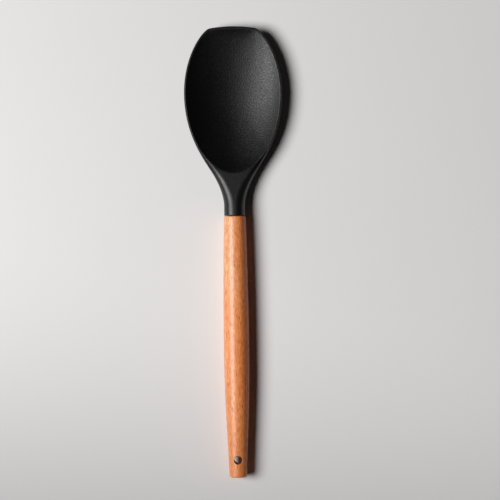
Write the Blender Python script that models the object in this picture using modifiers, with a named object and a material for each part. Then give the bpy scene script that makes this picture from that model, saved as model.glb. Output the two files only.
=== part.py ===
# Silicone spoon-shaped spatula with a turned beech handle, lying bowl up on a table.
# Metres. The head's tip points along +Y, the bowl opens towards +Z, and z = 0 is the table.
import math

import bmesh
import bpy
import numpy as np
from mathutils import Vector
from mathutils.geometry import interpolate_bezier

# Head seen from above. Distances named FROM_TIP run back from the middle of the front edge.
HEAD_LENGTH = 0.1385
FRONT_WIDTH = 0.0358  # between the corners of the front edge
FRONT_CROWN = 0.0019  # how far those corners lie behind the edge's middle
BOWL_WIDTH = 0.0717
WIDEST_FROM_TIP = 0.0490
WAIST_WIDTH = 0.0313  # where the flanks change from bulging to hollow
WAIST_FROM_TIP = 0.1077
NECK_DIAMETER = 0.0154
NECK_LENGTH = 0.0075  # the straight stretch in front of the handle
CORNER_HEADING = math.radians(58)  # the outline's heading, from straight back
WAIST_HEADING = math.radians(-31)

# Bowl
BOWL_LENGTH = 0.1073  # front edge to the lowest point of the heel's arc
HEEL_ARC_DEPTH = 0.0110  # how far that point lies behind the arc's ends
BOWL_DEPTH = 0.0092
FLOOR_THICKNESS = 0.0048
LOWEST_FROM_TIP = 0.0520
NOSE_AHEAD = 0.0055  # where the bowl's round form would close, had the front edge not cut it off
NOSE_REACHES = (0.4, 0.3)  # at the nose and at the corner, as shares of the way between them
FRONT_RAMP = 0.0120  # the stretch over which the floor falls from the front edge into that form
LIP_HEIGHT = 0.0020  # height of the lip's rounded outer edge
LIP_ROUNDING = 0.0010  # its width seen from above
RIM_FLAT = 0.0005  # flat land between that rounding and the bowl
NECK_LAND = 0.0034  # width of the flat land where it ends at the collar
FRONT_SWEEP = 2.4  # how late the underside rises to the front edge, as a power
SHOULDER_SWELL = 0.6  # how early the lip grows into the neck, as a power

# Nylon core: a blade under the bowl, a round rod in the neck, a grooved tang in the handle
SILICONE_SKIN = 0.0010  # silicone over the blade, above and below
BLADE_INSET = 0.0085  # silicone lip along the blade's sides
BLADE_DRAFT = 0.0003  # how much farther in its lower edge lies
BLADE_FROM_TIP = 0.0115  # the middle of its arched front
BLADE_NOSE_FROM_TIP = 0.0270  # where that arch meets its sides
NECK_WALL = 0.0024  # silicone around the rod
TANG_DIAMETER = 0.0075
TANG_LENGTH = 0.0420
TANG_ROOT = 0.0040  # how deep it is rooted in the rod
TANG_END_ROUNDING = 0.0010
GROOVE_DEPTH = 0.0006
GROOVE_WIDTH = 0.0026
GROOVE_PITCH = 0.0070
GROOVE_COUNT = 5
FIRST_GROOVE = 0.0070  # from the collar

# Glue
GLUE_WALL = 0.00055
GLUE_POOL = 0.0020  # glue behind the tang's end
GLUE_MARGIN = 0.0008  # how far the glue stays back from the bore's mouth

# Handle. Distances run back from its front face.
HANDLE_LENGTH = 0.1912
HANDLE_OVERHANG = 0.0003  # how far its front stands proud of the neck
HANDLE_BELLY_DIAMETER = 0.0186
HANDLE_BELLY_FROM_FRONT = 0.0980
HANDLE_TAIL_ARC = 0.0520  # rounded stretch behind the belly, before the straight taper
HANDLE_END_DIAMETER = 0.0127
HANDLE_FRONT_ROUNDING = 0.0010
HANDLE_END_ROUNDING = 0.0011
HOLE_DIAMETER = 0.0060
HOLE_FROM_END = 0.0130

CLEARANCE = 0.0003  # between touching pieces

# How finely the curved pieces are drawn
OUTLINE_SAMPLES = 60  # for each stretch of the outline
BOWL_ROWS = 22
NECK_ROWS = 12
ROW_STRAIGHTENING = 2.5  # how soon the rows straighten behind the heel, as a power
BLADE_ROWS = 14
ROD_ROWS = 10
HALF_COLUMNS = 9
LIP_STEPS = 4
EDGE_STEPS = 4
TANG_SIDES = 36
HANDLE_SIDES = 48
HANDLE_RINGS = 24
MERGE_DISTANCE = 0.00001  # of a turned piece's first and last profile, and of its ends on the axis

# What follows from the sizes above
OVERALL_LENGTH = HEAD_LENGTH + CLEARANCE + HANDLE_LENGTH
TIP_Y = OVERALL_LENGTH / 2
COLLAR_Y = TIP_Y - HEAD_LENGTH
AXIS_HEIGHT = HANDLE_BELLY_DIAMETER / 2  # the handle lies on its belly
NECK_RADIUS = NECK_DIAMETER / 2
NECK_FROM_TIP = HEAD_LENGTH - NECK_LENGTH
RIM_HEIGHT = FLOOR_THICKNESS + BOWL_DEPTH
LIP_EDGE_HEIGHT = RIM_HEIGHT - LIP_HEIGHT
HEEL_CORNER_FROM_TIP = BOWL_LENGTH - HEEL_ARC_DEPTH
SHOULDER_FROM_TIP = HEEL_CORNER_FROM_TIP - HEEL_ARC_DEPTH  # where the lip starts to grow into the neck
ROD_RADIUS = NECK_RADIUS - NECK_WALL - CLEARANCE
TANG_RADIUS = TANG_DIAMETER / 2
BORE_RADIUS = TANG_RADIUS + CLEARANCE + GLUE_WALL + CLEARANCE
GLUE_END = TANG_LENGTH + CLEARANCE + GLUE_POOL


def smooth_step(value, start, end):
    share = np.clip((value - start) / (end - start), 0, 1)
    return share * share * (3 - 2 * share)


def outline_curve():
    """Half-width and distance from the tip along one side, from the front edge's middle to the collar."""
    knots = [
        # half-width, from tip, heading, then the reach before and after as shares of each stretch
        (0, 0, math.radians(90), 0, 0.33),
        (FRONT_WIDTH / 2, FRONT_CROWN, CORNER_HEADING, 0.11, 0.14),
        (BOWL_WIDTH / 2, WIDEST_FROM_TIP, 0, 0.51, 0.49),
        (WAIST_WIDTH / 2, WAIST_FROM_TIP, WAIST_HEADING, 0.20, 0.50),
        (NECK_RADIUS, NECK_FROM_TIP, 0, 0.17, 0.30),
        (NECK_RADIUS, HEAD_LENGTH, 0, 0.30, 0),
    ]
    points = []
    for first, last in zip(knots, knots[1:]):
        start, end = Vector(first[:2]), Vector(last[:2])
        stretch = (end - start).length
        leaving = Vector((math.sin(first[2]), math.cos(first[2]))) * first[4] * stretch
        arriving = Vector((math.sin(last[2]), math.cos(last[2]))) * last[3] * stretch
        points += interpolate_bezier(start, start + leaving, end - arriving, end, OUTLINE_SAMPLES)[:-1]
    points.append(Vector(knots[-1][:2]))
    return np.array([point[:2] for point in points])


OUTLINE = outline_curve()
OUTLINE_STEP = np.gradient(OUTLINE, axis=0)
OUTLINE_STEP[0, 1] = 0  # straight across on the middle line
TRAVEL = np.append(0, np.cumsum(np.linalg.norm(np.diff(OUTLINE, axis=0), axis=1)))
CORNER = int(np.argmax(OUTLINE_STEP[:, 1] > OUTLINE_STEP[:, 0]))  # heads outwards and back alike
CORNER_FROM_TIP = OUTLINE[CORNER, 1]


def on_outline(travel):
    """Points of the outline and the normals that point into the head, at distances along it."""
    points = np.stack([np.interp(travel, TRAVEL, OUTLINE[:, axis]) for axis in (0, 1)], axis=1)
    step = np.stack([np.interp(travel, TRAVEL, OUTLINE_STEP[:, axis]) for axis in (0, 1)], axis=1)
    normals = np.stack([-step[:, 1], step[:, 0]], axis=1)
    return points, normals / np.linalg.norm(normals, axis=1)[:, None]


def half_width(from_tip):
    return np.interp(from_tip, OUTLINE[:, 1], OUTLINE[:, 0])


def lip_rounding(from_tip):
    """Width of the rounded edge seen from above: the bowl's lip grows into the round neck."""
    growth = NECK_RADIUS - NECK_LAND / 2 - RIM_FLAT - LIP_ROUNDING
    return LIP_ROUNDING + growth * smooth_step(from_tip, SHOULDER_FROM_TIP, HEAD_LENGTH) ** SHOULDER_SWELL


def top_height(from_tip):
    """Height of the rim, and of the flat land that runs from the heel onto the neck."""
    rise = AXIS_HEIGHT + NECK_RADIUS - RIM_HEIGHT
    return RIM_HEIGHT + rise * smooth_step(from_tip, HEEL_CORNER_FROM_TIP, HEAD_LENGTH)


def edge_height(from_tip):
    """Height at which the head is widest."""
    fall = AXIS_HEIGHT - LIP_EDGE_HEIGHT
    return LIP_EDGE_HEIGHT + fall * smooth_step(from_tip, WIDEST_FROM_TIP, NECK_FROM_TIP)


def keel_height(from_tip):
    """Height of the underside's middle line."""
    ahead = np.clip(1 - from_tip / LOWEST_FROM_TIP, 0, 1)
    neck_bottom = AXIS_HEIGHT - NECK_RADIUS
    behind = smooth_step(from_tip, LOWEST_FROM_TIP, NECK_FROM_TIP)
    return LIP_EDGE_HEIGHT * ahead**FRONT_SWEEP + neck_bottom * behind


def underside(x, from_tip):
    """A shallow parabola across the bowl, which turns into a half circle at the neck."""
    across = np.clip(np.abs(x) / np.maximum(half_width(from_tip), RIM_FLAT), 0, 1)
    power = 1 - smooth_step(from_tip, WIDEST_FROM_TIP, NECK_FROM_TIP) / 2
    depth = edge_height(from_tip) - keel_height(from_tip)
    return edge_height(from_tip) - depth * (1 - across**2) ** power


def spread(start, end, steps):
    return list(np.linspace(start, end, steps + 1))


def lip_inset(from_tip):
    return lip_rounding(from_tip) + RIM_FLAT


class Plan:
    """Rows of points across the head seen from above, as (x, from tip), and the outline around them.

    The first row follows the front edge between its corners. Each other row joins two points that
    lie inside the outline by an inset, and bends to pass through a centre.
    """

    def __init__(self, front, inset_of, centres, sides):
        side_edge, side_normal = on_outline(np.interp(sides, OUTLINE[:, 1], TRAVEL))
        side = side_edge + side_normal * inset_of(side_edge[:, 1])[:, None]
        shares, crown = row_shares(front)
        rows = [front]
        for centre, (x, from_tip) in zip(centres[1:], side[1:]):
            bend = crown + (shares**2 - crown) * smooth_step(centre, centres[0], WIDEST_FROM_TIP)
            rows.append(np.stack([x * shares, centre + (from_tip - centre) * bend], axis=1))
        self.rows = [np.concatenate([row[:0:-1] * (-1, 1), row]) for row in rows]
        right_edge = np.concatenate([FRONT_EDGE, side_edge[1:]])
        right_normal = np.concatenate([FRONT_NORMAL, side_normal[1:]])
        self.edge = np.concatenate([right_edge[:0:-1] * (-1, 1), right_edge])
        self.normal = np.concatenate([right_normal[:0:-1] * (-1, 1), right_normal])

    def around(self, grid):
        """The grid's border from the left end of the last row, along the front, to its right end."""
        left = [row[0] for row in grid[:0:-1]]
        right = [row[-1] for row in grid[1:]]
        return left + list(grid[0]) + right


FRONT_EDGE, FRONT_NORMAL = on_outline(np.linspace(0, TRAVEL[CORNER], HALF_COLUMNS + 1))
HEAD_FRONT = FRONT_EDGE + FRONT_NORMAL * lip_inset(FRONT_EDGE[:, 1])[:, None]


def row_shares(front):
    """The front row's steps sideways and backwards, as shares of the way to its corner."""
    middle, corner = front[0], front[-1]
    return front[:, 0] / corner[0], (front[:, 1] - middle[1]) / (corner[1] - middle[1])


def head_plan():
    """Behind the heel the rows straighten: their sides catch up with their centres."""
    neck_centres = spread(BOWL_LENGTH, HEAD_LENGTH, NECK_ROWS)[1:]
    lag = HEEL_ARC_DEPTH * np.linspace(1, 0, NECK_ROWS + 1)[1:] ** ROW_STRAIGHTENING
    return Plan(
        HEAD_FRONT,
        lip_inset,
        spread(HEAD_FRONT[0, 1], BOWL_LENGTH, BOWL_ROWS) + neck_centres,
        spread(CORNER_FROM_TIP, HEEL_CORNER_FROM_TIP, BOWL_ROWS) + list(neck_centres - lag),
    )


HEAD_PLAN = head_plan()


def round_reach():
    """One side of the bowl's round form, as angles and distances around the lowest point.

    It runs from the nose along the bowl's rim to the middle of the heel.
    """
    rows = HEAD_PLAN.rows[: BOWL_ROWS + 1]
    nose, corner = Vector((0, -NOSE_AHEAD)), Vector(rows[0][-1])
    stretch = (corner - nose).length
    leaving = Vector((1, 0)) * NOSE_REACHES[0] * stretch
    arriving = (Vector(rows[1][-1]) - corner).normalized() * NOSE_REACHES[1] * stretch
    nose_arc = interpolate_bezier(nose, nose + leaving, corner - arriving, corner, OUTLINE_SAMPLES)[:-1]
    heel = rows[-1][HALF_COLUMNS:-1][::-1]
    x, from_tip = np.array([point[:2] for point in nose_arc] + [row[-1] for row in rows] + list(heel)).T
    ahead = LOWEST_FROM_TIP - from_tip
    return np.arctan2(x, ahead), np.hypot(x, ahead)


REACH_ANGLES, REACHES = round_reach()


def bowl_form(x, from_tip):
    """0 at the bowl's rim and more inside: its round form, rounded into a ramp behind the front edge."""
    ahead = LOWEST_FROM_TIP - from_tip
    reach = np.interp(np.arctan2(np.abs(x), ahead), REACH_ANGLES, REACHES)
    inside = 1 - (np.hypot(x, ahead) / reach) ** 2
    ramp = (from_tip - np.interp(np.abs(x), HEAD_FRONT[:, 0], HEAD_FRONT[:, 1])) / FRONT_RAMP
    return inside + ramp - np.hypot(inside, ramp)


def upper_side(x, from_tip):
    """The bowl's floor, and outside the bowl the flat land."""
    depth = BOWL_DEPTH * bowl_form(x, from_tip) / bowl_form(0, LOWEST_FROM_TIP)
    return top_height(from_tip) - np.maximum(depth, 0)


def add_grid(mesh, rows, height):
    """Vertices at each point of the rows, and the faces between them."""
    grid = [[mesh.verts.new((x, -back, height(x, back))) for x, back in row] for row in rows]
    for near, far in zip(grid, grid[1:]):
        add_strip(mesh, near, far)
    return grid


def add_strip(mesh, first, second):
    for a, b, c, d in zip(first, first[1:], second[1:], second):
        mesh.faces.new((a, b, c, d))


def finish_mesh(name, mesh):
    bmesh.ops.recalc_face_normals(mesh, faces=mesh.faces)
    data = bpy.data.meshes.new(name)
    mesh.to_mesh(data)
    mesh.free()
    return bpy.data.objects.new(name, data)


def head_body(name):
    """The head without the core's space: bowl, lip, land and neck."""
    mesh = bmesh.new()
    top = add_grid(mesh, HEAD_PLAN.rows, upper_side)
    bottom = add_grid(mesh, HEAD_PLAN.rows, underside)
    chains = []
    borders = zip(HEAD_PLAN.edge, HEAD_PLAN.normal, HEAD_PLAN.around(top), HEAD_PLAN.around(bottom))
    for edge, normal, above, below in borders:
        rounding = lip_rounding(edge[1])
        edge_z = edge_height(edge[1])
        upper, lower = [above], [below]
        for step in range(LIP_STEPS, 0, -1):
            turn = math.radians(90) * step / LIP_STEPS
            x, back = edge + normal * rounding * (1 - math.cos(turn))
            lift = (top_height(back) - edge_z) * math.sin(turn)
            upper.append(mesh.verts.new((x, -back, edge_z + lift)))
            lower.append(mesh.verts.new((x, -back, underside(x, back))))
        widest = mesh.verts.new((edge[0], -edge[1], edge_z))
        chains.append((upper + [widest], lower + [widest]))
    for (upper, lower), (next_upper, next_lower) in zip(chains, chains[1:]):
        add_strip(mesh, upper, next_upper)
        add_strip(mesh, lower, next_lower)
    (left_upper, left_lower), (right_upper, right_lower) = chains[0], chains[-1]
    over = left_upper[::-1] + top[-1][1:-1] + right_upper
    under = left_lower[:-1][::-1] + bottom[-1][1:-1] + right_lower[:-1]
    mesh.faces.new(over + under[::-1])
    return finish_mesh(name, mesh)


def core_plan(inset, radius):
    """Rows of the core, whose inset goes from the blade's to the one that leaves a rod of that radius."""
    last_turn = math.radians(90) * (1 - 1 / (2 * HALF_COLUMNS + 1))
    neck_inset = NECK_RADIUS - radius * math.sin(last_turn)
    edge, normal = on_outline(np.interp([BLADE_NOSE_FROM_TIP], OUTLINE[:, 1], TRAVEL))
    corner = edge[0] + normal[0] * inset
    shares = np.linspace(0, 1, HALF_COLUMNS + 1)
    middle = BLADE_FROM_TIP + inset - BLADE_INSET
    front = np.stack([corner[0] * shares, middle + (corner[1] - middle) * shares**2], axis=1)
    rod_rows = spread(BOWL_LENGTH, HEAD_LENGTH, ROD_ROWS)[1:]
    return Plan(
        front,
        lambda from_tip: inset
        + (neck_inset - inset) * smooth_step(from_tip, SHOULDER_FROM_TIP, NECK_FROM_TIP),
        spread(middle, BOWL_LENGTH, BLADE_ROWS) + rod_rows,
        spread(BLADE_NOSE_FROM_TIP, BOWL_LENGTH, BLADE_ROWS) + rod_rows,
    )


def core_row(mesh, row, blade, radius):
    """One row of the core's upper side, or with a negative radius of its underside.

    The blade's height and even spacing give way to the rod's height and even angles.
    """
    shares = row[:, 0] / row[-1, 0]
    turns = shares * math.radians(90) * (1 - 1 / len(row))
    roundness = smooth_step(row[:, 1], HEEL_CORNER_FROM_TIP, NECK_FROM_TIP)
    rod = AXIS_HEIGHT + radius * np.cos(turns)
    heights = blade + (rod - blade) * roundness
    widths = row[-1, 0] * (shares + (np.sin(turns) / np.sin(turns[-1]) - shares) * roundness)
    return [mesh.verts.new((x, -back, z)) for x, back, z in zip(widths, row[:, 1], heights)]


def core_body(name, growth, beyond):
    """The core ahead of its tang, grown on all sides and run out beyond the collar."""
    skin = SILICONE_SKIN + CLEARANCE - growth
    radius = ROD_RADIUS + growth
    upper = core_plan(BLADE_INSET - growth, radius)
    lower = core_plan(BLADE_INSET + BLADE_DRAFT - growth, radius)
    for plan in (upper, lower):
        plan.rows[-1][:, 1] += beyond
    mesh = bmesh.new()
    top = [core_row(mesh, row, upper_side(row[:, 0], row[:, 1]) - skin, radius) for row in upper.rows]
    bottom = [core_row(mesh, row, underside(row[:, 0], row[:, 1]) + skin, -radius) for row in lower.rows]
    for grid in (top, bottom):
        for near, far in zip(grid, grid[1:]):
            add_strip(mesh, near, far)
    add_strip(mesh, upper.around(top), lower.around(bottom))
    mesh.faces.new(top[-1] + bottom[-1][::-1])
    return finish_mesh(name, mesh)


def arc(centre_r, centre_z, radius, start, end, steps):
    """Points of a turned profile's arc, with angles in degrees from straight outwards."""
    turns = np.radians(np.linspace(start, end, steps + 1))
    return [(centre_r + radius * math.cos(turn), centre_z + radius * math.sin(turn)) for turn in turns]


def turned(name, profile, steps):
    """A profile of (radius, height), top to bottom down its outer side, turned about its own Z axis."""
    data = bpy.data.meshes.new(name)
    corners = [(radius, 0, height) for radius, height in profile]
    data.from_pydata(corners, [(number, number + 1) for number in range(len(corners) - 1)], [])
    piece = bpy.data.objects.new(name, data)
    screw = piece.modifiers.new("turn", "SCREW")
    screw.axis = "Z"
    screw.steps = steps
    screw.render_steps = steps
    screw.use_merge_vertices = True
    screw.merge_threshold = MERGE_DISTANCE
    return piece


def groove_corners():
    """The tang's grooves from the collar back, with sloping sides."""
    corners = []
    for number in range(GROOVE_COUNT):
        middle = -FIRST_GROOVE - GROOVE_PITCH * number
        corners += [
            (TANG_RADIUS, middle + GROOVE_WIDTH / 2),
            (TANG_RADIUS - GROOVE_DEPTH, middle + GROOVE_WIDTH / 2 - GROOVE_DEPTH),
            (TANG_RADIUS - GROOVE_DEPTH, middle - GROOVE_WIDTH / 2 + GROOVE_DEPTH),
            (TANG_RADIUS, middle - GROOVE_WIDTH / 2),
        ]
    return corners


def tang_profile():
    rounding = TANG_END_ROUNDING
    root = [(0, TANG_ROOT), (TANG_RADIUS, TANG_ROOT)]
    end = arc(TANG_RADIUS - rounding, rounding - TANG_LENGTH, rounding, 0, -90, EDGE_STEPS)
    return root + groove_corners() + end + [(0, -TANG_LENGTH)]


def glue_profile():
    """A cup around the tang: up its inner side from the pool, and down the bore's wall."""
    mouth = -CLEARANCE - GLUE_MARGIN
    inner = TANG_RADIUS + CLEARANCE
    outer = inner + GLUE_WALL
    ridges = [(radius + CLEARANCE, height) for radius, height in groove_corners()]
    pool_top = -TANG_LENGTH - CLEARANCE
    up_inside = [(0, pool_top), (inner, pool_top)] + ridges[::-1] + [(inner, mouth)]
    return up_inside + [(outer, mouth), (outer, -GLUE_END), (0, -GLUE_END)]


def handle_radius(from_front):
    """Swells in a shallow arc to the belly, falls in another, and then tapers straight to the end."""
    belly = HANDLE_BELLY_DIAMETER / 2
    front = NECK_RADIUS + HANDLE_OVERHANG
    end = HANDLE_END_DIAMETER / 2
    past = from_front - HANDLE_BELLY_FROM_FRONT
    if past < 0:
        return belly - (belly - front) * (past / HANDLE_BELLY_FROM_FRONT) ** 2
    taper = HANDLE_LENGTH - HANDLE_BELLY_FROM_FRONT - HANDLE_TAIL_ARC
    bend = (belly - end) / (HANDLE_TAIL_ARC**2 + 2 * HANDLE_TAIL_ARC * taper)
    if past < HANDLE_TAIL_ARC:
        return belly - bend * past**2
    return belly - bend * HANDLE_TAIL_ARC**2 - 2 * bend * HANDLE_TAIL_ARC * (past - HANDLE_TAIL_ARC)


def handle_profile():
    """Up the bore from its bottom, round the front edge, along the outside and round the flat butt."""
    front = -CLEARANCE
    butt = front - HANDLE_LENGTH
    bore_bottom = -GLUE_END - CLEARANCE
    bore = [(0, bore_bottom), (BORE_RADIUS, bore_bottom), (BORE_RADIUS, front)]
    near, far = HANDLE_FRONT_ROUNDING, HANDLE_LENGTH - HANDLE_END_ROUNDING
    front_edge = arc(handle_radius(near) - near, front - near, near, 90, 0, EDGE_STEPS)
    outside = [(handle_radius(back), front - back) for back in spread(near, far, HANDLE_RINGS)[1:-1]]
    rounding = HANDLE_END_ROUNDING
    butt_edge = arc(handle_radius(far) - rounding, butt + rounding, rounding, 0, -90, EDGE_STEPS)
    return bore + front_edge + outside + butt_edge + [(0, butt)]


def hole_cutter():
    bpy.ops.mesh.primitive_cylinder_add(
        vertices=HANDLE_SIDES,
        radius=HOLE_DIAMETER / 2,
        depth=2 * HANDLE_BELLY_DIAMETER,
        location=(0, HOLE_FROM_END - TIP_Y, AXIS_HEIGHT),
    )
    cutter = bpy.context.object
    cutter.name = "hanging_hole"
    return cutter


def cut(piece, cutter, operation="DIFFERENCE"):
    boolean = piece.modifiers.new(cutter.name, "BOOLEAN")
    boolean.operation = operation
    boolean.object = cutter


def material(name, colour, roughness, coat=0):
    made = bpy.data.materials.new(name)
    made.use_nodes = True
    shader = made.node_tree.nodes["Principled BSDF"]
    shader.inputs["Base Color"].default_value = (*colour, 1)
    shader.inputs["Roughness"].default_value = roughness
    shader.inputs["Metallic"].default_value = 0
    shader.inputs["Coat Weight"].default_value = coat
    made.diffuse_color = (*colour, 1)
    return made


def place(piece, collection, parent):
    for holder in piece.users_collection:
        holder.objects.unlink(piece)
    collection.objects.link(piece)
    piece.parent = parent


def place_part(piece, collection, parent, finish):
    place(piece, collection, parent)
    piece.data.shade_smooth()
    piece.data.materials.append(finish)
    normals = piece.modifiers.new("normals", "WEIGHTED_NORMAL")
    normals.keep_sharp = True


def place_cutter(piece, collection, parent):
    place(piece, collection, parent)
    piece.hide_render = True
    piece.display_type = "WIRE"


def main():
    for old in list(bpy.data.objects):
        bpy.data.objects.remove(old)
    parts = bpy.data.collections.new("silicone_spatula")
    cutters = bpy.data.collections.new("cutters")
    for collection in (parts, cutters):
        bpy.context.scene.collection.children.link(collection)

    # The head's own origin is its tip. The turned pieces share an axis that runs forwards from the collar.
    head_origin = bpy.data.objects.new("head_origin", None)
    head_origin.location = (0, TIP_Y, 0)
    neck_axis = bpy.data.objects.new("neck_axis", None)
    neck_axis.location = (0, COLLAR_Y, AXIS_HEIGHT)
    neck_axis.rotation_euler = (math.radians(-90), 0, 0)
    parts.objects.link(head_origin)
    parts.objects.link(neck_axis)

    core_space = core_body("core_space", CLEARANCE, NECK_DIAMETER)
    tang = turned("tang", tang_profile(), TANG_SIDES)
    hole = hole_cutter()
    place_cutter(core_space, cutters, head_origin)
    place_cutter(tang, cutters, neck_axis)
    place_cutter(hole, cutters, None)

    head = head_body("silicone_head")
    cut(head, core_space)
    place_part(head, parts, head_origin, material("silicone", (0.012, 0.012, 0.013), 0.6))

    core = core_body("nylon_core", 0, 0)
    cut(core, tang, "UNION")
    place_part(core, parts, head_origin, material("nylon", (0.03, 0.03, 0.032), 0.45))

    glue = turned("tang_glue", glue_profile(), TANG_SIDES)
    place_part(glue, parts, neck_axis, material("cured_glue", (0.55, 0.42, 0.22), 0.3))

    handle = turned("wooden_handle", handle_profile(), HANDLE_SIDES)
    cut(handle, hole)
    place_part(handle, parts, neck_axis, material("beech", (0.72, 0.33, 0.14), 0.4, 0.3))


if __name__ == "__main__":
    main()
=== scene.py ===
# A spoon-shaped silicone spatula with a turned beech handle, lying bowl up on a pale table.
# Lengths are in metres. The tip points along +Y, the bowl opens upwards, and the table is z = 0.
import math

import bmesh
import bpy
import numpy as np
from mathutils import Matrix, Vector
from mathutils.geometry import interpolate_bezier


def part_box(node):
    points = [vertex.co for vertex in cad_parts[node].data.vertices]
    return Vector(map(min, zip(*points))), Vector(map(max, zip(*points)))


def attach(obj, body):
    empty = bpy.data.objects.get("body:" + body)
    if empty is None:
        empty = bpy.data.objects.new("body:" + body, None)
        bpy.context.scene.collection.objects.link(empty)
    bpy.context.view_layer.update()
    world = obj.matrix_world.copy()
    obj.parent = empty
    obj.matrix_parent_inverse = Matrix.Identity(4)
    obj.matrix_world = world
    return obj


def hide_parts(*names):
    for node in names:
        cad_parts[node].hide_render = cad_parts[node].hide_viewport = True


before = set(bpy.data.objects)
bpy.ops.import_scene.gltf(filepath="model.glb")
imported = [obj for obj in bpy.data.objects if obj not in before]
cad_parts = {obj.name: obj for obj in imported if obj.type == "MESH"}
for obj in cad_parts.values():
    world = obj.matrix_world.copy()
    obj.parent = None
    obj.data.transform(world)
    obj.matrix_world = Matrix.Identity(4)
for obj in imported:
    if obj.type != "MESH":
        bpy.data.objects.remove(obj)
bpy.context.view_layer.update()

scene = bpy.context.scene

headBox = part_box("silicone_head")
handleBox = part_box("wooden_handle")
tipY = headBox[1][1]
collarY = headBox[0][1]
handleFrontY = handleBox[1][1]
buttY = handleBox[0][1]
axisHeight = handleBox[1][2] / 2  # the handle lies on its belly
print("frame loaded, axis at", round(axisHeight * 1000, 2), "mm")


# small helpers for meshes and node trees

class Field:
    # a number in a node tree that can be written with + - * and /

    def __init__(self, tree, socket):
        self.tree = tree
        self.socket = socket

    def math(self, operation, *others):
        made = self.tree.nodes.new("ShaderNodeMath")
        made.operation = operation
        for slotNumber, value in enumerate((self, *others)):
            setInput(self.tree, made.inputs[slotNumber], value)
        return Field(self.tree, made.outputs[0])

    def __add__(self, other):
        return self.math("ADD", other)

    def __sub__(self, other):
        return self.math("SUBTRACT", other)

    def __mul__(self, other):
        return self.math("MULTIPLY", other)

    def __truediv__(self, other):
        return self.math("DIVIDE", other)

    def atLeast(self, other):
        return self.math("MAXIMUM", other)

    def atMost(self, other):
        return self.math("MINIMUM", other)

    def root(self):
        return self.math("SQRT")


def setInput(tree, socket, value):
    if isinstance(value, Field):
        value = value.socket
    if isinstance(value, bpy.types.NodeSocket):
        tree.links.new(value, socket)
    else:
        socket.default_value = value


def addNode(tree, kind, inputs=None, **settings):
    made = tree.nodes.new(kind)
    for name, value in settings.items():
        setattr(made, name, value)
    for name, value in (inputs or {}).items():
        setInput(tree, made.inputs[name], value)
    return made


def addSockets(tree, direction, sockets):
    # sockets is a list of (name, kind, default)
    for name, kind, default in sockets:
        socketType = "NodeSocket" + kind
        made = tree.interface.new_socket(name=name, in_out=direction, socket_type=socketType)
        if default is not None:
            made.default_value = default


def linkMesh(name, mesh):
    made = bpy.data.objects.new(name, mesh)
    scene.collection.objects.link(made)
    return made


sharpAngle = 50  # degrees: an edge that turns by more keeps its crease


def smoothMesh(mesh):
    mesh.shade_smooth()
    mesh.set_sharp_from_angle(angle=math.radians(sharpAngle))


# silicone head: the solid's outline and, within half a millimetre, its sections, drawn finer

headSizes = {
    "length": 0.1385,  # tip to collar
    "frontWidth": 0.0358,  # between the corners of the front edge
    "frontCrown": 0.0019,  # how far those corners lie behind the edge's middle
    "bowlWidth": 0.0717,
    "widestAt": 0.0490,  # distances named At run back from the tip
    "waistWidth": 0.0313,
    "waistAt": 0.1077,
    "cornerHeading": 58,  # where the outline is going, in degrees: 0 is straight back, 90 outwards
    "waistHeading": -31,
    "neckRadius": 0.0077,
    "neckLength": 0.0075,
    "bowlLength": 0.1073,
    "heelArcDepth": 0.0110,
    "bowlDepth": 0.0092,
    "floorThickness": 0.0048,
    "lowestAt": 0.0520,
    "noseAhead": 0.0055,  # where the bowl's round form would close, ahead of the front edge
    "noseReaches": (0.4, 0.3),
    "frontRamp": 0.0130,  # the stretch over which the floor falls from the front edge
    "rampEasing": 0.0020,  # how slowly that fall begins
    "lipHeight": 0.0020,
    "lipRounding": 0.0011,
    "rimFlat": 0.0003,
    "rimEasing": 0.00014,  # softens the edge between the rim and the bowl
    "neckLand": 0.0008,  # width of the flat that is left along the neck's top
    "frontSweep": 2.4,  # how late the underside rises towards the tip
    "shoulderAhead": 0.0063,  # how far ahead of the heel's corner the lip starts to grow
    "shoulderSwell": 0.65,  # below 1, it grows fast at first
    "collarEasing": 0.0004,
    "boreRadius": 0.0053,
    "boreDepth": 0.0140,
    "bowlRows": 84,
    "neckRows": 52,
    "halfColumns": 30,
    "lipSteps": 9,
    "rowCrowding": 0.75,  # from 0 to 1: how far rows crowd towards both ends of a stretch
    "cornerCrowding": 0.8,  # the same for columns, towards the corners of the front edge
    "heelStraightening": 2.5,  # how soon the rows behind the heel run straight across
    "outlineSamples": 200,  # on each stretch of the outline
    "noseSamples": 120,
    "weldDistance": 1e-7,
}
s = headSizes
s["neckAt"] = s["length"] - s["neckLength"]
s["rimHeight"] = s["floorThickness"] + s["bowlDepth"]
s["lipEdge"] = s["rimHeight"] - s["lipHeight"]
s["heelCornerAt"] = s["bowlLength"] - s["heelArcDepth"]
s["shoulderAt"] = s["heelCornerAt"] - s["shoulderAhead"]


def smoothStep(value, start, end):
    share = np.clip((value - start) / (end - start), 0, 1)
    return share * share * (3 - 2 * share)


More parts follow.
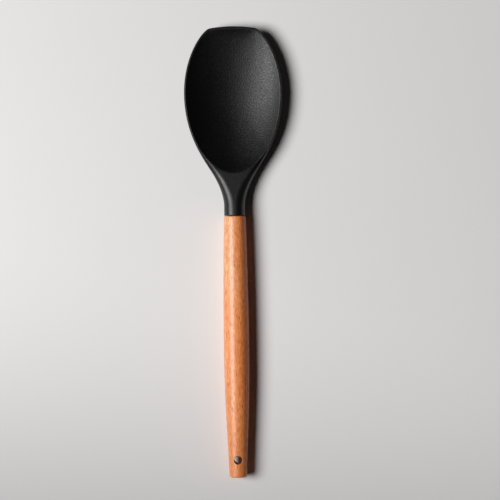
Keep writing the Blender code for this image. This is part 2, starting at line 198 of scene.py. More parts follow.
def outlinePoints():
    # half-width and distance from the tip, from the front edge's middle to the collar
    knots = [
        # half-width, from tip, heading, then the reach before and after as shares of each stretch
        (0, 0, 90, 0, 0.33),
        (s["frontWidth"] / 2, s["frontCrown"], s["cornerHeading"], 0.11, 0.14),
        (s["bowlWidth"] / 2, s["widestAt"], 0, 0.51, 0.49),
        (s["waistWidth"] / 2, s["waistAt"], s["waistHeading"], 0.20, 0.50),
        (s["neckRadius"], s["neckAt"], 0, 0.17, 0.30),
        (s["neckRadius"], s["length"], 0, 0.30, 0),
    ]
    points = []
    for first, last in zip(knots, knots[1:]):
        start, end = Vector(first[:2]), Vector(last[:2])
        stretch = (end - start).length
        leaving, arriving = math.radians(first[2]), math.radians(last[2])
        reach = Vector((math.sin(leaving), math.cos(leaving))) * first[4] * stretch
        backReach = Vector((math.sin(arriving), math.cos(arriving))) * last[3] * stretch
        curve = interpolate_bezier(start, start + reach, end - backReach, end, s["outlineSamples"])
        points += curve[:-1]
    points.append(Vector(knots[-1][:2]))
    return np.array([point[:2] for point in points])


outline = outlinePoints()
outlineStep = np.gradient(outline, axis=0)
outlineStep[0, 1] = 0  # straight across on the middle line
travel = np.append(0, np.cumsum(np.linalg.norm(np.diff(outline, axis=0), axis=1)))
cornerIndex = int(np.argmax(outlineStep[:, 1] > outlineStep[:, 0]))  # the front edge ends here
cornerAt = outline[cornerIndex, 1]


def onOutline(distance):
    # points of the outline and the normals that point into the head
    points = np.stack([np.interp(distance, travel, outline[:, k]) for k in (0, 1)], axis=1)
    step = np.stack([np.interp(distance, travel, outlineStep[:, k]) for k in (0, 1)], axis=1)
    normals = np.stack([-step[:, 1], step[:, 0]], axis=1)
    return points, normals / np.linalg.norm(normals, axis=1)[:, None]


def lipRounding(back):
    growth = s["neckRadius"] - s["neckLand"] / 2 - s["rimFlat"] - s["lipRounding"]
    grown = smoothStep(back, s["shoulderAt"], s["neckAt"]) ** s["shoulderSwell"]
    return s["lipRounding"] + growth * grown


def topHeight(back):
    rise = axisHeight + s["neckRadius"] - s["rimHeight"]
    return s["rimHeight"] + rise * smoothStep(back, s["heelCornerAt"], s["length"])


def edgeHeight(back):
    rise = axisHeight - s["lipEdge"]
    return s["lipEdge"] + rise * smoothStep(back, s["widestAt"], s["neckAt"])


def underside(x, back):
    # a parabola across the bowl, which becomes half an ellipse at the neck
    ahead = np.clip(1 - back / s["lowestAt"], 0, 1)
    behind = smoothStep(back, s["lowestAt"], s["neckAt"])
    keel = s["lipEdge"] * ahead ** s["frontSweep"] + (axisHeight - s["neckRadius"]) * behind
    halfWidth = np.maximum(np.interp(back, outline[:, 1], outline[:, 0]), s["rimFlat"])
    across = np.clip(np.abs(x) / halfWidth, 0, 1)
    power = 1 - smoothStep(back, s["widestAt"], s["neckAt"]) / 2
    return edgeHeight(back) - (edgeHeight(back) - keel) * (1 - across**2) ** power


def packed(start, end, steps, atStart=0.0, atEnd=0.0):
    # positions that lie closer together at one end or both
    along = np.linspace(0, 1, steps + 1)
    both = min(atStart, atEnd)
    eased = along - both * np.sin(2 * math.pi * along) / (2 * math.pi)
    eased -= (atStart - both) * np.sin(math.pi * eased) / math.pi
    eased += (atEnd - both) * np.sin(math.pi * eased) / math.pi
    return start + (end - start) * eased


def mirrored(half):
    # from the middle line outwards, to the whole width from left to right
    return np.concatenate([half[:0:-1] * (-1, 1), half])


def planRows():
    # rows across the head seen from above: the first follows the front edge, the bowl's last one
    # the heel's arc, and those behind it straighten towards the collar
    crowded = (s["rowCrowding"], s["rowCrowding"])
    frontTravel = packed(0, travel[cornerIndex], s["halfColumns"], atEnd=s["cornerCrowding"])
    frontEdge, frontNormal = onOutline(frontTravel)
    inset = lipRounding(frontEdge[:, 1]) + s["rimFlat"]
    front = frontEdge + frontNormal * inset[:, None]
    shares = front[:, 0] / front[-1, 0]
    crown = (front[:, 1] - front[0, 1]) / (front[-1, 1] - front[0, 1])
    neckCentres = packed(s["bowlLength"], s["length"], s["neckRows"], *crowded)[1:]
    remaining = (s["length"] - neckCentres) / (s["length"] - s["bowlLength"])
    centres = [*packed(front[0, 1], s["bowlLength"], s["bowlRows"], *crowded), *neckCentres]
    sides = [*packed(cornerAt, s["heelCornerAt"], s["bowlRows"], *crowded)]
    sides += list(neckCentres - s["heelArcDepth"] * remaining ** s["heelStraightening"])
    sideEdge, sideNormal = onOutline(np.interp(sides, outline[:, 1], travel))
    side = sideEdge + sideNormal * (lipRounding(sideEdge[:, 1]) + s["rimFlat"])[:, None]
    rows = [front]
    for centre, (x, back) in zip(centres[1:], side[1:]):
        bend = crown + (shares**2 - crown) * smoothStep(centre, centres[0], s["widestAt"])
        rows.append(np.stack([x * shares, centre + (back - centre) * bend], axis=1))
    edge = mirrored(np.concatenate([frontEdge, sideEdge[1:]]))
    normal = mirrored(np.concatenate([frontNormal, sideNormal[1:]]))
    return [mirrored(row) for row in rows], edge, normal


def around(grid):
    # the grid's border, from the collar's left round the tip to the collar's right
    return [row[0] for row in grid[:0:-1]] + list(grid[0]) + [row[-1] for row in grid[1:]]


def bowlFormOf(rows):
    # 0 at the bowl's rim and more inside: a round form, rounded into a ramp behind the front edge
    bowl = rows[: s["bowlRows"] + 1]
    nose, corner = Vector((0, -s["noseAhead"])), Vector(bowl[0][-1])
    stretch = (corner - nose).length
    leaving = Vector((1, 0)) * s["noseReaches"][0] * stretch
    arriving = (Vector(bowl[1][-1]) - corner).normalized() * s["noseReaches"][1] * stretch
    noseArc = interpolate_bezier(nose, nose + leaving, corner - arriving, corner, s["noseSamples"])
    heel = bowl[-1][s["halfColumns"] : -1][::-1]
    rim = [point[:2] for point in noseArc[:-1]] + [row[-1] for row in bowl] + list(heel)
    rimX, rimBack = np.array(rim).T
    rimAngles = np.arctan2(rimX, s["lowestAt"] - rimBack)
    rimReaches = np.hypot(rimX, s["lowestAt"] - rimBack)
    front = rows[0][s["halfColumns"] :]

    def bowlForm(x, back):
        ahead = s["lowestAt"] - back
        reach = np.interp(np.arctan2(np.abs(x), ahead), rimAngles, rimReaches)
        inside = 1 - (np.hypot(x, ahead) / reach) ** 2
        behind = back - np.interp(np.abs(x), front[:, 0], front[:, 1])
        ramp = behind * np.abs(behind) / (np.abs(behind) + s["rampEasing"]) / s["frontRamp"]
        return inside + ramp - np.hypot(inside, ramp)

    return bowlForm


def makeHead():
    rows, edges, normals = planRows()
    bowlForm = bowlFormOf(rows)
    deepest = bowlForm(0, s["lowestAt"])

    def upperSide(x, back):
        # the bowl's floor runs into the rim through an eased edge
        depth = s["bowlDepth"] * bowlForm(x, back) / deepest
        return topHeight(back) - (depth + np.sqrt(depth**2 + s["rimEasing"] ** 2)) / 2

    def collarEase(point):
        # rounds the neck's end towards its axis
        left = s["collarEasing"] - (point[1] + s["length"])
        if left <= 0:
            return point
        shrink = s["collarEasing"] - math.sqrt(max(s["collarEasing"] ** 2 - left**2, 0))
        x, y, z = point
        radius = math.hypot(x, z - axisHeight)
        return (x * (1 - shrink / radius), y, axisHeight + (z - axisHeight) * (1 - shrink / radius))

    mesh = bmesh.new()

    def vertex(x, back, z):
        x, y, z = collarEase((float(x), -float(back), float(z)))
        return mesh.verts.new((x, tipY + y, z))

    def strip(first, second):
        for a, b, c, d in zip(first, first[1:], second[1:], second):
            mesh.faces.new((a, b, c, d))

    def grid(height):
        lines = []
        for row in rows:
            heights = height(row[:, 0], row[:, 1])
            lines.append([vertex(x, back, z) for (x, back), z in zip(row, heights)])
        for near, far in zip(lines, lines[1:]):
            strip(near, far)
        return lines

    # the upper side and the underside, joined by a rounded lip
    top = grid(upperSide)
    bottom = grid(underside)
    chains = []
    for edge, normal, above, below in zip(edges, normals, around(top), around(bottom)):
        rounding, widest = lipRounding(edge[1]), edgeHeight(edge[1])
        upper, lower = [above], [below]
        for step in range(s["lipSteps"], -1, -1):
            turn = math.pi / 2 * step / s["lipSteps"]
            x, back = edge + normal * rounding * (1 - math.cos(turn))
            upper.append(vertex(x, back, widest + (topHeight(back) - widest) * math.sin(turn)))
            if step:
                lower.append(vertex(x, back, underside(x, back)))
        chains.append((upper, lower + [upper[-1]]))
    for (upper, lower), (nextUpper, nextLower) in zip(chains, chains[1:]):
        strip(upper, nextUpper)
        strip(lower, nextLower)

    # the neck's end: a ring round the bore that the core comes out of
    (leftUpper, leftLower), (rightUpper, rightLower) = chains[0], chains[-1]
    over = leftUpper[::-1] + top[-1][1:-1] + rightUpper
    under = leftLower[:-1][::-1] + bottom[-1][1:-1] + rightLower[:-1]
    loop = over + under[::-1]
    mouth, deep = [], []
    for corner in loop:
        outwards = Vector((corner.co.x, 0, corner.co.z - axisHeight)).normalized() * s["boreRadius"]
        mouth.append(mesh.verts.new((outwards.x, collarY, axisHeight + outwards.z)))
        deep.append(mesh.verts.new((outwards.x, collarY + s["boreDepth"], axisHeight + outwards.z)))
    strip(loop + loop[:1], mouth + mouth[:1])
    strip(mouth + mouth[:1], deep + deep[:1])
    mesh.faces.new(deep)
    bmesh.ops.remove_doubles(mesh, verts=mesh.verts, dist=s["weldDistance"])
    bmesh.ops.recalc_face_normals(mesh, faces=mesh.faces)
    data = bpy.data.meshes.new("siliconeHead")
    mesh.to_mesh(data)
    mesh.free()
    smoothMesh(data)
    return linkMesh("silicone_head_skin", data)


siliconeHead = makeHead()
print("silicone head:", len(siliconeHead.data.polygons), "faces")


# beech handle: turned by a node tree, whose rule gives the radius at each distance from its front

handleSizes = {
    "Length": handleFrontY - buttY,
    "Front Radius": 0.0080,
    "Belly Radius": axisHeight,
    "End Radius": 0.00635,
    "Belly At": 0.0980,  # from the front face
    "Tail Arc": 0.0520,  # rounded stretch behind the belly, before the straight taper
    "Front Rounding": 0.0011,
    "End Rounding": 0.0012,
    "Bore Radius": 0.0049,
    "Bore Depth": 0.0446,
    "Weld Distance": 0.00002,
}
handleDetail = {"Sides": 112, "Rings": 220}
holeSizes = {
    "radius": 0.0030,
    "fromEnd": 0.0130,
    "easing": 0.00035,  # rounding of the hole's rim
    "reachAlong": 0.0047,  # half of the patch around the hole that is drawn finer
    "reachAround": 42,  # the same, in degrees around the handle
    "planSteps": 4,  # from the patch's edge to the rim
    "easingSteps": 5,
    "wallSteps": 4,
}
holeY = buttY + holeSizes["fromEnd"]


def turnedHandleTree(material):
    tree = bpy.data.node_groups.new("turnedHandle", "GeometryNodeTree")
    lengths = {**handleSizes, "Front Y": handleFrontY, "Axis Height": axisHeight}
    addSockets(tree, "OUTPUT", [("Geometry", "Geometry", None)])
    addSockets(tree, "INPUT", [(name, "Float", value) for name, value in lengths.items()])
    addSockets(tree, "INPUT", [(name, "Int", count) for name, count in handleDetail.items()])
    given = addNode(tree, "NodeGroupInput")
    size = {name: Field(tree, given.outputs[name]) for name in lengths}

    def turnedStrip(rows, rule):
        # a sheet of rows by sides, rolled round the axis: rule gives radius and depth at each share
        columns = Field(tree, given.outputs["Sides"]) + 1.0
        detail = {"Size X": 1.0, "Size Y": 1.0, "Vertices X": columns, "Vertices Y": rows}
        sheet = addNode(tree, "GeometryNodeMeshGrid", detail)
        parts = addNode(tree, "ShaderNodeSeparateXYZ", {0: sheet.outputs["UV Map"]})
        turn = Field(tree, parts.outputs[0]) * (2 * math.pi)
        radius, depth = rule(Field(tree, parts.outputs[1]))
        x = radius * turn.math("COSINE")
        z = size["Axis Height"] + radius * turn.math("SINE")
        place = addNode(tree, "ShaderNodeCombineXYZ", {0: x, 1: size["Front Y"] - depth, 2: z})
        moved = {"Geometry": sheet.outputs["Mesh"], "Position": place.outputs[0]}
        return addNode(tree, "GeometryNodeSetPosition", moved).outputs[0]

    def straightStrip(first, last):
        # from one (radius, depth) to another in a straight line, so two rows are enough
        def rule(share):
            return [start + (end - start) * share for start, end in zip(first, last)]

        return turnedStrip(2, rule)

    def roundingDrop(distance, rounding):
        missing = (rounding - distance).atLeast(0.0)
        return rounding - (rounding * rounding - missing * missing).atLeast(0.0).root()

    def outsideRule(share):
        # the rings crowd towards both ends, where the edges are rounded
        depth = size["Length"] * ((share * math.pi).math("COSINE") * -0.5 + 0.5)
        belly, bellyAt, tailArc = size["Belly Radius"], size["Belly At"], size["Tail Arc"]
        ahead = ((bellyAt - depth) / bellyAt).atLeast(0.0)
        past = (depth - bellyAt).atLeast(0.0)
        taper = size["Length"] - bellyAt - tailArc
        bend = (belly - size["End Radius"]) / (tailArc * tailArc + tailArc * taper * 2.0)
        inArc = past.atMost(tailArc)
        straight = (past - tailArc).atLeast(0.0)
        radius = belly - (belly - size["Front Radius"]) * ahead * ahead
        radius = radius - bend * inArc * inArc - bend * tailArc * straight * 2.0
        radius = radius - roundingDrop(depth, size["Front Rounding"])
        radius = radius - roundingDrop(size["Length"] - depth, size["End Rounding"])
        return radius, depth

    zero = size["Length"] * 0.0  # a field too, so that the rules can reckon with it
    frontEdge = size["Front Radius"] - size["Front Rounding"]
    buttEdge = size["End Radius"] - size["End Rounding"]
    bore, boreDepth = size["Bore Radius"], size["Bore Depth"]
    strips = [
        turnedStrip(given.outputs["Rings"], outsideRule),
        straightStrip((bore, zero), (frontEdge, zero)),
        straightStrip((bore, boreDepth), (bore, zero)),
        straightStrip((zero, boreDepth), (bore, boreDepth)),
        straightStrip((buttEdge, size["Length"]), (zero, size["Length"])),
    ]
    last = addNode(tree, "GeometryNodeJoinGeometry")
    for strip in strips:
        tree.links.new(strip, last.inputs[0])
    for kind, inputs in (
        ("GeometryNodeMergeByDistance", {"Distance": size["Weld Distance"]}),
        ("GeometryNodeRealizeInstances", {}),
        ("GeometryNodeSetMaterial", {"Material": material}),
        ("NodeGroupOutput", {}),
    ):
        last = addNode(tree, kind, {"Geometry": last.outputs[0], **inputs})
    return tree


def runTree(name, tree, values):
    # runs a node tree on an empty mesh and returns what it makes as a plain mesh
    holder = linkMesh(name, bpy.data.meshes.new(name))
    modifier = holder.modifiers.new(name, "NODES")
    modifier.node_group = tree
    for item in tree.interface.items_tree:
        if item.in_out == "INPUT" and item.name in values:
            modifier[item.identifier] = values[item.name]
    evaluated = holder.evaluated_get(bpy.context.evaluated_depsgraph_get())
    mesh = bpy.data.meshes.new_from_object(evaluated)
    bpy.data.objects.remove(holder)
    return mesh


def openHangingHole(mesh):
    # swaps a patch of the turned surface, above and below, for rings that run down into the hole
    reachAlong, reachAround = holeSizes["reachAlong"], math.radians(holeSizes["reachAround"])
    easing, radius = holeSizes["easing"], holeSizes["radius"]
    planSteps, easingSteps = holeSizes["planSteps"], holeSizes["easingSteps"]
    finish = next(iter(mesh.faces)).material_index

    # the tail is straight here, so its radius at any distance follows from the rings around
    rings = {}
    for corner in mesh.verts:
        if abs(corner.co.y - holeY) < 3 * reachAlong:
            fromAxis = math.hypot(corner.co.x, corner.co.z - axisHeight)
            rings.setdefault(round(corner.co.y, 6), fromAxis)
    ringY = sorted(rings)
    ringRadius = [rings[y] for y in ringY]

    def heading(corner):
        return math.atan2(corner.co.y - holeY, corner.co.x)

    def addBand(first, second):
        for a, b, c, d in zip(first, first[1:] + first[:1], second[1:] + second[:1], second):
            mesh.faces.new((a, b, c, d)).material_index = finish

    # share runs from the patch's edge to the rim, and turn then goes down round the rim
    stations = [(step / planSteps, 0) for step in range(1, planSteps)]
    stations += [(1, math.pi / 2 * step / easingSteps) for step in range(easingSteps + 1)]
    inner = {}
    for side in (1, -1):
        gone = []
        for face in mesh.faces:
            middle = face.calc_center_median()
            turn = math.atan2(abs(middle.x), (middle.z - axisHeight) * side)
            if abs(middle.y - holeY) < reachAlong and turn < reachAround:
                gone.append(face)
        bmesh.ops.delete(mesh, geom=gone, context="FACES")
        patchEdge = [
            corner
            for corner in mesh.verts
            if any(len(edge.link_faces) == 1 for edge in corner.link_edges)
            and (corner.co.z - axisHeight) * side > 0
        ]
        patchEdge.sort(key=heading)
        previous = patchEdge
        for share, turn in stations:
            ring = []
            for corner in patchEdge:
                outer = Vector((corner.co.x, corner.co.y - holeY))
                outwards = Vector((math.cos(heading(corner)), math.sin(heading(corner))))
                plan = outer.lerp(outwards * (radius + easing * (1 - math.sin(turn))), share)
                surface = np.interp(holeY + plan.y, ringY, ringRadius)
                height = math.sqrt(surface**2 - plan.x**2) - easing * (1 - math.cos(turn))
                ring.append(mesh.verts.new((plan.x, holeY + plan.y, axisHeight + side * height)))
            addBand(previous, ring)
            previous = ring
        inner[side] = previous
    upper = inner[1]
    for step in range(1, holeSizes["wallSteps"]):
        share = step / holeSizes["wallSteps"]
        lower = [mesh.verts.new(a.co.lerp(b.co, share)) for a, b in zip(inner[1], inner[-1])]
        addBand(upper, lower)
        upper = lower
    addBand(upper, inner[-1])


def makeHandle(material):
    turned = runTree("turned_handle", turnedHandleTree(material), {**handleSizes, **handleDetail})
    mesh = bmesh.new()
    mesh.from_mesh(turned)
    openHangingHole(mesh)
    bmesh.ops.recalc_face_normals(mesh, faces=mesh.faces)
    mesh.to_mesh(turned)
    mesh.free()
    turned.name = "beechHandle"
    smoothMesh(turned)
    return linkMesh("beech_handle", turned)


# materials: a value named Fade or Across is a pair, where an effect starts and where it is full

def newMaterial(name):
    made = bpy.data.materials.new(name)
    made.use_nodes = True
    tree = made.node_tree
    return made, tree, tree.nodes["Principled BSDF"]


def objectPlace(tree, scale=(1, 1, 1), shift=(0, 0, 0)):
    place = addNode(tree, "ShaderNodeTexCoord").outputs["Object"]
    mapping = {"Vector": place, "Location": shift, "Scale": scale}
    return addNode(tree, "ShaderNodeMapping", mapping).outputs[0]


def mixColour(tree, share, first, second, blend="MIX"):
    made = addNode(tree, "ShaderNodeMix", data_type="RGBA", blend_type=blend)
    setInput(tree, made.inputs[0], share)
    for number, value in ((6, first), (7, second)):
        if isinstance(value, tuple):
            value = (*value, 1)
        setInput(tree, made.inputs[number], value)
    return made.outputs[2]


def remap(tree, value, fromLow, fromHigh, toLow=0.0, toHigh=1.0):
    limits = {"From Min": fromLow, "From Max": fromHigh, "To Min": toLow, "To Max": toHigh}
    made = addNode(tree, "ShaderNodeMapRange", {"Value": value, **limits})
    return Field(tree, made.outputs[0])


def noise(tree, place, scale=1.0, detail=2.0, roughness=0.5):
    inputs = {"Vector": place, "Scale": scale, "Detail": detail, "Roughness": roughness}
    return Field(tree, addNode(tree, "ShaderNodeTexNoise", inputs).outputs[0])


def spots(tree, place, scale, spotFade, pickFade):
    # spots in the middle of a pattern's cells, and only in the cells that are picked
    cells = addNode(tree, "ShaderNodeTexVoronoi", {"Vector": place, "Scale": scale})
    pick = addNode(tree, "ShaderNodeSeparateColor", {0: cells.outputs["Color"]})
    spot = remap(tree, cells.outputs["Distance"], *spotFade)
    return spot * remap(tree, pick.outputs[0], *pickFade)


def addBump(tree, shader, strength, depth, height):
    inputs = {"Strength": strength, "Distance": depth, "Height": height}
    setInput(tree, shader.inputs["Normal"], addNode(tree, "ShaderNodeBump", inputs).outputs[0])


grainDefaults = {
    "Fine Scale": 3000.0,
    "Coarse Scale": 1100.0,
    "Coarse Share": 0.5,
    "Sheen Scale": 60.0,
    "Speckle Scale": 900.0,
    "Speckle Share": 0.75,
}
grainDetail = {"Fine": 2.0, "Coarse": 1.0, "Sheen": 3.0, "Speckle": 1.0}


def mouldedGrainGroup():
    # the fine pebbled surface that a blasted mould leaves, in two sizes, and its speckled, slowly
    # shifting sheen
    tree = bpy.data.node_groups.new("mouldedGrain", "ShaderNodeTree")
    addSockets(tree, "INPUT", [("Vector", "Vector", None)])
    addSockets(tree, "INPUT", [(name, "Float", value) for name, value in grainDefaults.items()])
    addSockets(tree, "OUTPUT", [("Height", "Float", None), ("Sheen", "Float", None)])
    given = addNode(tree, "NodeGroupInput").outputs
    fine, coarse, sheen, speckle = (
        noise(tree, given["Vector"], given[name + " Scale"], detail)
        for name, detail in grainDetail.items()
    )
    height = fine + (coarse - fine) * given["Coarse Share"]
    addNode(
        tree,
        "NodeGroupOutput",
        {"Height": height, "Sheen": sheen + (speckle - sheen) * given["Speckle Share"]},
    )
    return tree


mouldedGrain = mouldedGrainGroup()


def addMouldedGrain(tree, shader, place, look):
    # gives a shader the grain's roughness and bump, with the material's own values
    grain = addNode(tree, "ShaderNodeGroup", node_tree=mouldedGrain)
    for name, value in {"Vector": place, **look["grain"]}.items():
        setInput(tree, grain.inputs[name], value)
    shift = look["roughnessShift"]
    roughness = Field(tree, grain.outputs["Sheen"]) * (2 * shift) + (look["roughness"] - shift)
    setInput(tree, shader.inputs["Roughness"], roughness)
    addBump(tree, shader, look["grainStrength"], look["grainDepth"], grain.outputs["Height"])


siliconeLook = {
    "colour": (0.0027, 0.0027, 0.0031),
    "dustColour": (0.035, 0.035, 0.036),
    "dustScale": 420.0,
    "dustFade": (0.10, 0.04),
    "dustPickFade": (0.93, 0.97),
    "roughness": 0.385,
    "roughnessShift": 0.22,
    "ior": 1.365,
    "grain": {
        "Fine Scale": 2000.0,
        "Coarse Scale": 1250.0,
        "Coarse Share": 0.45,
        "Sheen Scale": 45.0,
    },
    "grainDepth": 0.00020,
    "grainStrength": 1.0,
    "neckPolish": 0.22,  # the neck is handled and has a sheen that the bowl lacks
    "polishIor": 1.8,
    "polishRoughness": 0.42,
    "polishFade": (0.1035, 0.1095),  # from the tip
}


def makeSilicone():
    look = siliconeLook
    made, tree, shader = newMaterial("matte black silicone")
    place = objectPlace(tree)
    dust = spots(tree, place, look["dustScale"], look["dustFade"], look["dustPickFade"])
    colour = mixColour(tree, dust, look["colour"], look["dustColour"])
    setInput(tree, shader.inputs["Base Color"], colour)
    shader.inputs["IOR"].default_value = look["ior"]
    addMouldedGrain(tree, shader, place, look)
    y = Field(tree, addNode(tree, "ShaderNodeSeparateXYZ", {0: place}).outputs[1])
    bare, polished = (tipY - distance for distance in look["polishFade"])
    coat = remap(tree, y, bare, polished, 0.0, look["neckPolish"])
    setInput(tree, shader.inputs["Coat Weight"], coat)
    shader.inputs["Coat Roughness"].default_value = look["polishRoughness"]
    shader.inputs["Coat IOR"].default_value = look["polishIor"]
    return made


nylonLook = {
    "colour": (0.030, 0.030, 0.032),
    "fibreColour": (0.070, 0.070, 0.072),
    "fibreScale": (2500, 300, 2500),  # three scales stretch a pattern lengthwise
    "fibreFade": (0.58, 0.72),
    "roughness": 0.42,
    "roughnessShift": 0.08,
    "grain": {
        "Fine Scale": 1800.0,
        "Coarse Scale": 500.0,
        "Coarse Share": 0.3,
        "Sheen Scale": 120.0,
    },
    "grainDepth": 0.00002,
    "grainStrength": 0.4,
}


def makeNylon():
    look = nylonLook
    made, tree, shader = newMaterial("glass-filled nylon")
    fibres = noise(tree, objectPlace(tree, look["fibreScale"]), detail=3.0)
    streak = remap(tree, fibres, *look["fibreFade"])
    colour = mixColour(tree, streak, look["colour"], look["fibreColour"])
    setInput(tree, shader.inputs["Base Color"], colour)
    addMouldedGrain(tree, shader, objectPlace(tree), look)
    return made


glueLook = {
    "clear": (0.62, 0.47, 0.22),
    "cloudy": (0.44, 0.33, 0.17),
    "bubble": (0.80, 0.72, 0.52),
    "cloudScale": 260.0,
    "cloudFade": (0.35, 0.7),
    "bubbleScale": 1100.0,
    "bubbleFade": (0.18, 0.08),
    "bubbleDepth": 0.00005,
    "bubbleStrength": 0.5,
    "roughness": (0.22, 0.40),  # clear, then cloudy
    "roughnessFade": (0.3, 0.7),
}


def makeGlue():
    look = glueLook
    made, tree, shader = newMaterial("cured glue")
    place = objectPlace(tree)
    cloud = noise(tree, place, look["cloudScale"], 4.0)
    cells = addNode(tree, "ShaderNodeTexVoronoi", {"Vector": place, "Scale": look["bubbleScale"]})
    bubble = remap(tree, cells.outputs["Distance"], *look["bubbleFade"])
    base = mixColour(tree, remap(tree, cloud, *look["cloudFade"]), look["clear"], look["cloudy"])
    setInput(tree, shader.inputs["Base Color"], mixColour(tree, bubble, base, look["bubble"]))
    roughness = remap(tree, cloud, *look["roughnessFade"], *look["roughness"])
    setInput(tree, shader.inputs["Roughness"], roughness)
    addBump(tree, shader, look["bubbleStrength"], look["bubbleDepth"], bubble)
    return made


beechLook = {
    "dull": (0.90, 0.375, 0.165),  # towards the handle's left side
    "deep": (0.99, 0.328, 0.088),  # towards its right side: painted shade, richer and darker in green and blue away from the light
    "shadedSideAcross": (-0.0065, 0.0065),  # from the axis
    "rightEdgeShade": (0.84, 0.23, 0.065),  # painted shade along its right edge, away from the light
    "rightEdgeShadeAcross": (0.0035, 0.0095),
    "paintedLight": (0.91, 0.47, 0.25),  # painted light: a pale patch on the lit left side, near the front, where the highlight falls
    "paintedLightAcross": (0.002, -0.003),
    "paintedLightFade": (0.064, 0.040),  # from the front face
    "wander": 0.010,  # how far the tints wander sideways
    "wanderScale": (60, 14, 60),
    "fibreShade": (0.76, 0.59, 0.44),
    "fibreScale": (1800, 220, 1800),
    "fibreRoughness": 0.6,
    "ringScale": (420, 16, 310),
    "ringShift": (0.3, 0, 0.1),
    "ringShare": 0.2,
    "fibreFade": (0.58, 0.41),
    "fleckShade": (0.50, 0.34, 0.25),
    "flecks": (
        # scale, shift, fade of a fleck, fade of the pick, strength: fine ones, then coarse ones
        ((1500, 330, 1500), (0, 0, 0), (0.42, 0.18), (0.55, 0.75), 0.5),
        ((950, 230, 950), (0.5, 0.2, 0.7), (0.40, 0.15), (0.80, 0.90), 0.9),
    ),
    # darker end grain and painted shade inside the hanging hole
    "boreGrainAndPaintedShade": (0.12, 0.08, 0.06),
    "boreFade": (0.00016, 0.00004),  # from the hole's wall
    "roughness": 0.39,
    "fleckRoughness": 0.12,  # what a fleck adds
    "ior": 1.50,
    "grainDepth": 0.00004,
    "grainStrength": 0.35,
}


def makeBeech():
    look = beechLook
    made, tree, shader = newMaterial("varnished beech")
    parts = addNode(tree, "ShaderNodeSeparateXYZ", {0: objectPlace(tree)})
    x, y = Field(tree, parts.outputs[0]), Field(tree, parts.outputs[1])
    # painted shade: the wood grows richer and darker across the handle, on the side away from the
    # light, along a wandering line
    wander = noise(tree, objectPlace(tree, look["wanderScale"])) - 0.5
    across = x + wander * look["wander"]
    base = mixColour(tree, remap(tree, across, *look["shadedSideAcross"]), look["dull"], look["deep"])
    # painted shade: darker and redder along the right edge, away from the light
    base = mixColour(tree, remap(tree, across, *look["rightEdgeShadeAcross"]), base, look["rightEdgeShade"])
    # painted light: a pale patch on the lit left side of the handle, near the front
    paintedLightEnd, paintedLightFull = (handleFrontY - distance for distance in look["paintedLightFade"])
    paintedLight = remap(tree, y, paintedLightEnd, paintedLightFull) * remap(tree, across, *look["paintedLightAcross"])
    base = mixColour(tree, paintedLight, base, look["paintedLight"])
    # wavy lengthwise fibres in two widths
    fibres = noise(tree, objectPlace(tree, look["fibreScale"]), roughness=look["fibreRoughness"])
    rings = noise(tree, objectPlace(tree, look["ringScale"], look["ringShift"]))
    band = fibres * (1 - look["ringShare"]) + rings * look["ringShare"]
    fibre = remap(tree, band, *look["fibreFade"])
    base = mixColour(tree, fibre, base, look["fibreShade"], "MULTIPLY")
    # short dark flecks along the grain, some of them larger
    fine, coarse = (
        spots(tree, objectPlace(tree, scale, shift), 1.0, fleckFade, pickFade) * strength
        for scale, shift, fleckFade, pickFade, strength in look["flecks"]
    )
    fleck = fine.atLeast(coarse)
    base = mixColour(tree, fleck, base, look["fleckShade"], "MULTIPLY")
    # the hanging hole's walls are much darker: end grain that soaks up the finish, and painted
    # shade inside the hole
    fromHole = y - holeY
    holeDistance = (x * x + fromHole * fromHole).root()
    outside, inside = (holeSizes["radius"] + distance for distance in look["boreFade"])
    inHole = remap(tree, holeDistance, outside, inside)
    base = mixColour(tree, inHole, base, look["boreGrainAndPaintedShade"], "MULTIPLY")
    setInput(tree, shader.inputs["Base Color"], base)
    roughness = fleck * look["fleckRoughness"] + look["roughness"]
    setInput(tree, shader.inputs["Roughness"], roughness)
    shader.inputs["IOR"].default_value = look["ior"]
    addBump(tree, shader, look["grainStrength"], look["grainDepth"], band - fleck)
    return made


tableLook = {
    "colour": (0.80, 0.785, 0.78),
    "darker": 0.975,  # what the drifting tint leaves of it
    "driftScale": 9.0,
    "roughness": 0.5,
    "size": 6.0,
}


def makeTableMaterial():
    look = tableLook
    made, tree, shader = newMaterial("pale table")
    drift = noise(tree, objectPlace(tree), look["driftScale"], 4.0)
    darker = tuple(part * look["darker"] for part in look["colour"])
    setInput(tree, shader.inputs["Base Color"], mixColour(tree, drift, darker, look["colour"]))
    shader.inputs["Roughness"].default_value = look["roughness"]
    return made


# dressing

beechHandle = makeHandle(makeBeech())
print("beech handle:", len(beechHandle.data.polygons), "faces")

siliconeHead.data.materials.append(makeSilicone())
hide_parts("silicone_head")
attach(siliconeHead, "root")

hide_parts("wooden_handle")
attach(beechHandle, "root")

for nodeName, finish in (("nylon_core", makeNylon()), ("tang_glue", makeGlue())):
    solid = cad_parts[nodeName]
    solid.data.materials.clear()
    solid.data.materials.append(finish)
print("materials are on")


# table, light and camera

def addSheet(name, width, nearY, farY):
    half = width / 2
    corners = [(-half, nearY, 0), (half, nearY, 0), (half, farY, 0), (-half, farY, 0)]
    mesh = bpy.data.meshes.new(name)
    mesh.from_pydata(corners, [], [(0, 1, 2, 3)])
    return linkMesh(name, mesh)


table = addSheet("table", tableLook["size"], -tableLook["size"] / 2, tableLook["size"] / 2)
table.data.materials.append(makeTableMaterial())

lightSetup = {
    # azimuth is where the softbox stands, in degrees from +X through +Y, and distance is how far
    # from the middle of the object
    "softbox": {"azimuth": 184, "elevation": 51.5, "distance": 2.6, "size": 1.40, "power": 80.0},
    "worldColour": (1.0, 0.93, 0.90),
    "worldStrength": 0.012,
    "backdropColour": (0.86, 0.85, 0.84),
}


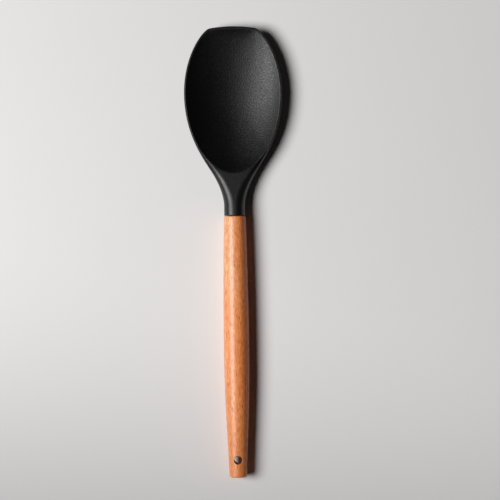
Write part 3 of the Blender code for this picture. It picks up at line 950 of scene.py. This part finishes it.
def addSoftbox(name):
    setup = lightSetup[name]
    lamp = bpy.data.lights.new(name, "AREA")
    lamp.shape = "ELLIPSE"
    lamp.size = lamp.size_y = setup["size"]
    lamp.energy = setup["power"]
    turn, rise = math.radians(setup["azimuth"]), math.radians(setup["elevation"])
    level = math.cos(rise)
    away = Vector((math.cos(turn) * level, math.sin(turn) * level, math.sin(rise)))
    holder = bpy.data.objects.new(name, lamp)
    holder.location = away * setup["distance"]
    holder.rotation_euler = away.to_track_quat("Z", "Y").to_euler()
    scene.collection.objects.link(holder)


addSoftbox("softbox")

# a grey net in front of the softbox, out of the picture, dims the table's near left corner
netSetup = {
    "edge": (-0.261, -0.172, 0.329),  # the middle of its far edge
    "turn": -11.5,
    "size": 8.0,
    "density": 0.5,
    "colour": (0.02, 0.02, 0.02),
}
lightNet = addSheet("light_net", netSetup["size"], -netSetup["size"], 0)
lightNet.location = netSetup["edge"]
lightNet.rotation_euler = (0, 0, math.radians(netSetup["turn"]))
lightNet.visible_camera = False
lightNet.visible_glossy = False
lightNet.visible_diffuse = False
netMaterial, _, netShader = newMaterial("grey net")
netShader.inputs["Base Color"].default_value = (*netSetup["colour"], 1)
netShader.inputs["Alpha"].default_value = netSetup["density"]
lightNet.data.materials.append(netMaterial)
print("table, softbox and net stand")

world = bpy.data.worlds.new("studio")
scene.world = world
world.use_nodes = True
worldTree = world.node_tree
worldTree.nodes.clear()
rays = addNode(worldTree, "ShaderNodeLightPath")
fillLight = {"Color": (*lightSetup["worldColour"], 1), "Strength": lightSetup["worldStrength"]}
fill = addNode(worldTree, "ShaderNodeBackground", fillLight)
backdropLight = {"Color": (*lightSetup["backdropColour"], 1), "Strength": 1.0}
backdrop = addNode(worldTree, "ShaderNodeBackground", backdropLight)
choice = {0: rays.outputs["Is Camera Ray"], 1: fill.outputs[0], 2: backdrop.outputs[0]}
seen = addNode(worldTree, "ShaderNodeMixShader", choice)
addNode(worldTree, "ShaderNodeOutputWorld", {0: seen.outputs[0]})

cameraSetup = {
    "distance": 1.3,  # from the lens down to subjectHeight
    "subjectHeight": 0.011,  # where metresPerPixel holds
    "metresPerPixel": 0.0007317,
    "pictureWidth": 500,  # pixels
    "sensorWidth": 36,  # millimetres
    "roll": -0.8,  # the object's tip leans a little to the left in the picture
    "aim": (0.01082, 0.00135),  # the picture's centre, from the object's, along the picture's axes
}
c = cameraSetup
camera = bpy.data.objects.new("camera", bpy.data.cameras.new("camera"))
scene.collection.objects.link(camera)
roll = math.radians(c["roll"])
right = Vector((math.cos(roll), math.sin(roll), 0))
up = Vector((-math.sin(roll), math.cos(roll), 0))
height = c["subjectHeight"] + c["distance"]
camera.location = right * c["aim"][0] + up * c["aim"][1] + Vector((0, 0, height))
camera.rotation_euler = (0, 0, roll)
camera.data.sensor_width = c["sensorWidth"]
pictureSpan = c["metresPerPixel"] * c["pictureWidth"]
camera.data.lens = c["sensorWidth"] * c["distance"] / pictureSpan
scene.camera = camera
scene.view_settings.view_transform = "Standard"
print("camera lens", round(camera.data.lens, 2), "mm")
